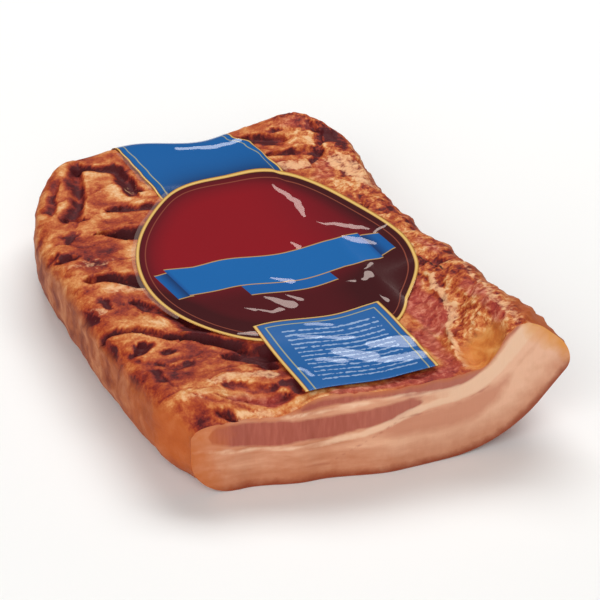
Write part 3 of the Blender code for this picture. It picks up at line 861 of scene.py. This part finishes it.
def gold_lines(tree, tone, width, fine_colour, fine_at, fine_width):
    """Gold where the distance to the edge is under a width, and a fine line further in."""
    edge = attribute(tree, "edge")
    off = node(tree, "Math", {0: edge, 1: fine_at}, operation="SUBTRACT")
    off = node(tree, "Math", {0: off}, operation="ABSOLUTE")
    fine = node(tree, "MapRange", {0: off, 1: fine_width, 2: fine_width * 0.6, 3: 0.0, 4: 0.85})
    tone = over(tree, tone, linear(fine_colour), fine)
    shade = node(tree, "MapRange", {0: edge, 1: width + 0.9, 2: width, 3: 0.0, 4: 0.6})
    tone = over(tree, tone, linear("#3a1a18"), shade)
    across_gold = node(tree, "MapRange", {0: edge, 1: 0.0, 2: width})
    gilt = node(tree, "ValToRGB", {0: across_gold}, stops=(
        (0.0, "#a86e32"), (0.35, "#dcb05a"), (0.6, "#e6c477"), (1.0, "#b9823c")))
    return over(tree, tone, gilt, node(tree, "MapRange", {0: edge, 1: width + 0.12, 2: width - 0.12}))


def inside(tree, name_long, name_ends):
    """1 where both distances are above 0, with an edge a quarter of a millimetre wide."""
    distances = {0: attribute(tree, name_long), 1: attribute(tree, name_ends)}
    both = node(tree, "Math", distances, operation="MINIMUM")
    return node(tree, "MapRange", {0: both, 1: -0.12, 2: 0.12})


def gold_hem(tree, tone, name_long):
    """Gold along a ribbon's long edges, just under 1 mm wide."""
    hem = node(tree, "MapRange", {0: attribute(tree, name_long), 1: 1.0, 2: 0.75})
    return over(tree, tone, linear("#b9935a"), hem)


def red_print():
    """Crimson ink, brightest behind the middle, wine red at the rim, and the ribbons over it."""
    material, tree, shader = new_material("red_printed_film", {
        **gloss_film(), "Specular Tint": linear("#ffe6da")})
    tone = node(tree, "ValToRGB", {0: attribute(tree, "glow")}, stops=(
        (0.0, "#880717"), (0.3, "#780817"), (0.6, "#590713"), (0.9, "#3c050c")))
    tone = gold_lines(tree, tone, 2.3, "#8c4634", 6.2, 0.45)
    shadow = node(tree, "MapRange", {0: attribute(tree, "banner_ends"), 1: -6.0, 2: -0.5, 3: 0.1, 4: 0.8})
    free = node(tree, "MapRange", {0: attribute(tree, "banner_ends"), 1: 1.0, 2: 8.0, 3: 1.0, 4: 0.0})
    shadow = node(tree, "Math", {0: shadow, 1: free}, operation="MULTIPLY")
    under = over(tree, linear("#0f5ba0"), linear("#0a2450"), shadow)
    under = gold_hem(tree, under, "behind_long")
    tone = over(tree, tone, under, inside(tree, "behind_long", "behind_ends"))
    front = node(tree, "MapRange", {0: attribute(tree, "banner_ends"), 1: 0.0, 2: 2.5})
    banner = over(tree, linear("#0f4f92"), linear("#1062a6"), front)
    banner = gold_hem(tree, banner, "banner_long")
    tone = over(tree, tone, banner, inside(tree, "banner_long", "banner_ends"))
    tree.links.new(tone, shader.inputs["Base Color"])
    tilt_facets(tree, shader, 0.3)
    return material


def blue_print(name, gold_width, fine_at, roughness, facet_blur):
    """Clear mid blue ink, darker where the next sheet shades it. Small print is drawn as broken
    pale bars: a row's middle line is where 'row' is 0, and noise along it breaks the bar."""
    material, tree, shader = new_material(name, gloss_film(roughness))
    tone = over(tree, linear("#0e5a9c"), linear("#0c2f5c"), attribute(tree, "shade"))
    spot = node(tree, "TexCoord", out="Object")
    breaks = node(tree, "TexNoise", {"Vector": spot, "Scale": 480.0, "Detail": 1.0})
    bar = node(tree, "Math", {0: breaks, 1: -2.6, 2: attribute(tree, "row")}, operation="MULTIPLY_ADD")
    bars = node(tree, "MapRange", {0: bar, 1: -0.6, 2: -0.9, 3: 0.0, 4: 0.7})
    tone = over(tree, tone, linear("#a9c0de"), bars)
    tree.links.new(gold_lines(tree, tone, gold_width, "#a9a67c", fine_at, 0.5), shader.inputs["Base Color"])
    tilt_facets(tree, shader, facet_blur)
    return material


# %% [markdown]
# ## The three sheets
# Each sheet is a grid of points laid over the slab. The medallion's grid is a square
# drawn onto an oval. The panel lies over its front edge and lifts at one free corner.
# The band slips under the medallion, runs back, bends round the slab's back edge and
# hangs down. The distances that the print needs are kept with the points.

# %% The medallion
def make_medallion(cells):
    """The grid's square is drawn onto a disc by x sqrt(1 - y^2 / 2), then onto the oval."""
    u, v, quads = grid(*cells)
    across, along = u * np.sqrt(1 - v * v / 2), v * np.sqrt(1 - u * u / 2)
    s, y = from_medallion(across, along)
    edge = (1 - np.hypot(across, along)) * 0.5 * sum(MEDALLION_RADII)
    glow = 0.75 * (1 - ease((edge + 3) / 26)) + ease((150 - y) / 45) * 0.75 + ease((s - 95) / 65) * 0.5
    edge = edge / (1 + 0.7 * np.clip(0.7 * across + 0.9 * along - 0.45, 0, 1))
    banner_long, banner_ends = strip(s, y, BANNER, BANNER_LEAN)
    behind = [strip(s, y, line, lean) for line, lean in BEHIND_BANNER]
    nearest = np.argmax([np.minimum(*distances) for distances in behind], 0)
    behind_long, behind_ends = (np.choose(nearest, distances) for distances in zip(*behind))
    attributes = {
        "edge": edge, "glow": glow, "banner_long": banner_long, "banner_ends": banner_ends,
        "behind_long": behind_long, "behind_ends": behind_ends, "facet": facet_inside(s, y),
    }
    return make_sheet("medallion_film", on_medallion(s, y), quads, attributes, red_print(), FILM_WALL)


# %% The panel
ROWS_FROM, ROWS_TO, ROW_STEP, ROWS_SIDES = 6.0, 65.0, 4.5, (65.0, 117.0)
CORNER_LIFT, LIFT_BACK, LIFT_ACROSS = 1.2, 16, 60
PANEL_BOW, FAR_FROM_ROWS = 2.0, 5.0


def panel_height(s, y):
    """The panel lies one gap above the medallion's film, and its free front right corner lifts."""
    front, _ = panel_ends(s)
    free = CORNER_LIFT * ease((front + LIFT_BACK - y) / LIFT_BACK) * ease((s - PANEL_SIDES[0]) / LIFT_ACROSS)
    return thickness(s, y) / 2 + CLEARANCE + SHEET_GAP + film_lift(s, y) + free


def make_panel(cells):
    """Four sides in s and y, of which the right one bows. Its front has no gold. 'way' is the distance
    from the front edge, so the rows run alongside that edge."""
    u, v, quads = grid(*cells)
    bow = PANEL_BOW * (1 - v * v)
    s = np.interp(u, (-1, 1), PANEL_SIDES)
    front, back = panel_ends(s)
    way = (back - front) * (v + 1) / 2
    y, s = front + way, s + bow * (u + 1) / 2
    edge = np.minimum(s - PANEL_SIDES[0], PANEL_SIDES[1] + bow - s)
    edge = np.minimum(edge, back - front - way + 0.9)
    row = np.abs(np.mod(way - ROWS_FROM, ROW_STEP) - ROW_STEP / 2)
    beyond = np.maximum.reduce([ROWS_SIDES[0] - s, s - ROWS_SIDES[1], ROWS_FROM - way, way - ROWS_TO])
    row = np.where(beyond > 0, FAR_FROM_ROWS, row)
    attributes = {"edge": edge, "shade": 0 * s, "row": row, "facet": facet_inside(s, y)}
    return make_sheet("panel_film", place(s, y, panel_height(s, y)), quads, attributes,
                      blue_print("blue_panel_film", 1.9, 5.6, 0.24, 3.6), FILM_WALL)


# %% The band
BAND_ACROSS, UNDER_MEDALLION, FREE_FROM, FREE_OVER = 80.0, 0.6, 236, 10


def band_point(share, way):
    """A point of the band, way mm from its front end: flat, then round the back edge, then down.
    Its front end lies flat and lower, so that it slips under the medallion."""
    top_run, bend_run = LENGTH - BACK_ROUND - BAND_FRONT, np.pi / 2 * BACK_ROUND
    angle = np.clip((way - top_run) / bend_run, 0, 1) * np.pi / 2
    flat_y = BAND_FRONT + np.minimum(way, top_run)
    left, right = band_sides(flat_y + BACK_ROUND * np.sin(angle))
    s = left + (right - left) * share
    free = ease((flat_y - FREE_FROM) / FREE_OVER)
    lift = CLEARANCE - UNDER_MEDALLION * (1 - free) + film_lift(s, flat_y) * free * np.cos(angle) ** 2
    y = flat_y + (BACK_ROUND + lift) * np.sin(angle)
    slab_left, slab_right = sides(np.full(s.shape, LENGTH - BACK_ROUND))
    _, height = edge_radii(2 * (s - slab_left) / (slab_right - slab_left) - 1, np.ones(s.shape))
    h = THICKNESS / 2 - height + (height + lift) * np.cos(angle) - np.maximum(way - top_run - bend_run, 0)
    return s, BAND_FRONT + way, place(s, y, h * thickness(s, y) / THICKNESS)


def make_band(cells):
    """A strip with straight sides. It is darkest where it slips under the medallion."""
    u, v, quads = grid(*cells)
    run = LENGTH - BACK_ROUND - BAND_FRONT + np.pi / 2 * BACK_ROUND + BAND_DROP
    share = (u + 1) / 2
    s, unrolled_y, points = band_point(share, (v + 1) / 2 * run)
    edge = (1 - np.abs(u)) / 2 * BAND_ACROSS
    away = np.hypot(*medallion_place(s, unrolled_y)) - 1
    shade = np.exp(-np.maximum(away, 0) * 12) * 0.8
    row = 0 * s + FAR_FROM_ROWS
    attributes = {"edge": edge, "shade": shade, "row": row, "facet": facet_inside(s, unrolled_y)}
    return make_sheet("band_film", points, quads, attributes,
                      blue_print("blue_band_film", 1.3, 5.4, 0.15, 0.6), FILM_WALL)


# %% [markdown]
# ## The clear margin
# The label is cut from one clear film and the print stops short of its edge. On the
# left a clear strip about 2.5 mm wide shows beside the band and the medallion. The
# meat's colour comes through it, and only its gloss tells the eye that it is there.

# %% Clear film beside the print
MARGIN_WIDTH, MARGIN_UNDER_PRINT, MARGIN_WALL = 3.0, 0.5, 0.1
MARGIN_LOW, MARGIN_WAVE, WAVES_ACROSS = 0.55, 0.5, 0.9
MARGIN_MEAN_RADIUS, MARGIN_FROM, MARGIN_TURN = 86, 122, 92
BAND_MARGIN_FROM, BAND_MARGIN_RUN = 243, 46


def clear_film():
    """Clear polypropylene: mostly see-through by its alpha, with the same gloss as the print."""
    settings = {**gloss_film(), "Base Color": linear("#e6cfc4"), "Alpha": 0.07}
    return new_material("clear_film", settings)[0]


def make_clear_margin(cells, name, points_at):
    """A strip whose inner side lies under the print's edge and whose width varies by 15 %."""
    u, v, quads = grid(*cells)
    ripple = 1 + 0.15 * lumps(60 * v, 0 * v, 9.0, 51)
    points = points_at((u + 1) / 2 * MARGIN_WIDTH * ripple - MARGIN_UNDER_PRINT, (v + 1) / 2)
    margin = make_sheet(name, points, quads, {}, clear_film(), MARGIN_WALL)
    margin.modifiers["film thickness"].offset = 1
    return margin


def over_meat(s, y, out, phase):
    """The strip lies lower than the print and waves up and down, as sine squared of the way out."""
    wave = np.sin(out * WAVES_ACROSS + phase) ** 2
    return place(s, y, thickness(s, y) / 2 + MARGIN_LOW + MARGIN_WAVE * wave)


def beside_medallion(out, turn):
    """Out from the oval's left edge, from its back to the panel, along directions in degrees."""
    direction = np.radians(MARGIN_FROM + MARGIN_TURN * turn)
    reach = 1 + out / MARGIN_MEAN_RADIUS
    s, y = from_medallion(np.cos(direction) * reach, np.sin(direction) * reach)
    return over_meat(s, y, out, 5 * turn)


def beside_band(out, along):
    """Out from the band's left edge, as it runs back from the medallion to the slab's back edge."""
    y = BAND_MARGIN_FROM + BAND_MARGIN_RUN * along
    return over_meat(band_sides(y)[0] - out, y, out, 3 * along)


# %% All pieces of the label
MARGIN_CELLS = ((10, 200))
medallion_margin = make_clear_margin(MARGIN_CELLS, "medallion_margin", beside_medallion)
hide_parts("medallion")
band_margin = make_clear_margin(MARGIN_CELLS, "band_margin", beside_band)
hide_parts("back_band")
medallion = make_medallion(((180, 230)))
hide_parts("medallion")
panel = make_panel(((110, 150)))
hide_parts("front_panel")
band = make_band(((100, 180)))
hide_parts("back_band")


# %% [markdown]
# ## Floor and light
# The floor is a large, pale, matt plane. The key light stands high at the back right and
# gives the grooves their shadows. A larger and softer light at the front left fills the
# cut and the left flank, and the sky is a dim, even white that lifts the darkest parts.

# %% Floor, two area lights and the sky
FLOOR_HALF, FLOOR_LOWER = 4000.0, 0.2


def make_floor():
    """A large flat plane just under the slab, in pale matt paper white."""
    turns = ((-1, -1), (1, -1), (1, 1), (-1, 1))
    corners = np.array([(a * FLOOR_HALF, b * FLOOR_HALF, -FLOOR_LOWER) for a, b in turns])
    floor = make_mesh("floor", corners, np.array([[0, 1, 2, 3]]))
    paper = new_material("floor_paper", {"Base Color": linear("#f4f3f1"), "Roughness": 0.9})[0]
    floor.data.materials.append(paper)


def make_light(name, spot, aim, size, power):
    """A rectangular area light at spot, turned to face aim, all in metres and watts."""
    light = bpy.data.lights.new(name, "AREA")
    light.shape = "RECTANGLE"
    light.size, light.size_y, light.energy = *size, power
    made = bpy.data.objects.new(name, light)
    made.location = spot
    made.rotation_euler = (Vector(aim) - Vector(spot)).to_track_quat("-Z", "Y").to_euler()
    bpy.context.scene.collection.objects.link(made)
    print(name + ":", power, "W")


make_floor()
make_light("key", KEY_SPOT.tolist(), (0, 0, 0), (1.7, 0.8), 30.0)
make_light("front_fill", (-1.1, -1.5, 1.1), (0, 0, 0.02), (2.4, 2.0), 43.0)
world = bpy.data.worlds.new("studio")
bpy.context.scene.world = world
world.use_nodes = True
sky = world.node_tree
sky.nodes["Background"].inputs["Strength"].default_value = 0.13
sky.nodes["Background"].inputs["Color"].default_value = (1, 1, 1, 1)
bpy.context.scene.view_settings.view_transform = "Standard"

# %% [markdown]
# ## Camera
# The camera stands in front, to the left, and looks down by 31 degrees through a long
# lens, so that parallel edges stay almost parallel. The way to the eye, worked out for
# the facets, is one of its axes. The other two are square to it, and the three become
# the columns of its matrix.

# %% Camera
FOCAL_PIXELS, PICTURE_PIXELS, SENSOR = 2600.0, 600.0, 36.0
AIM = np.array([97.8 - MIDDLE[0], 126.3 - MIDDLE[1], 30.0]) * MM
AWAY = 1.4286
rightward = np.array([np.cos(AZIMUTH), np.sin(AZIMUTH), 0.0])
upward = np.cross(TO_EYE, rightward)
camera = bpy.data.objects.new("camera", bpy.data.cameras.new("camera"))
camera.data.sensor_width = SENSOR
camera.data.lens = FOCAL_PIXELS / PICTURE_PIXELS * SENSOR
turn = Matrix(np.column_stack([rightward, upward, TO_EYE]).tolist()).to_4x4()
camera.matrix_world = Matrix.Translation((AIM + TO_EYE * AWAY).tolist()) @ turn
bpy.context.scene.collection.objects.link(camera)
bpy.context.scene.camera = camera
print("lens:", round(camera.data.lens, 1), "mm, at", AWAY, "m")
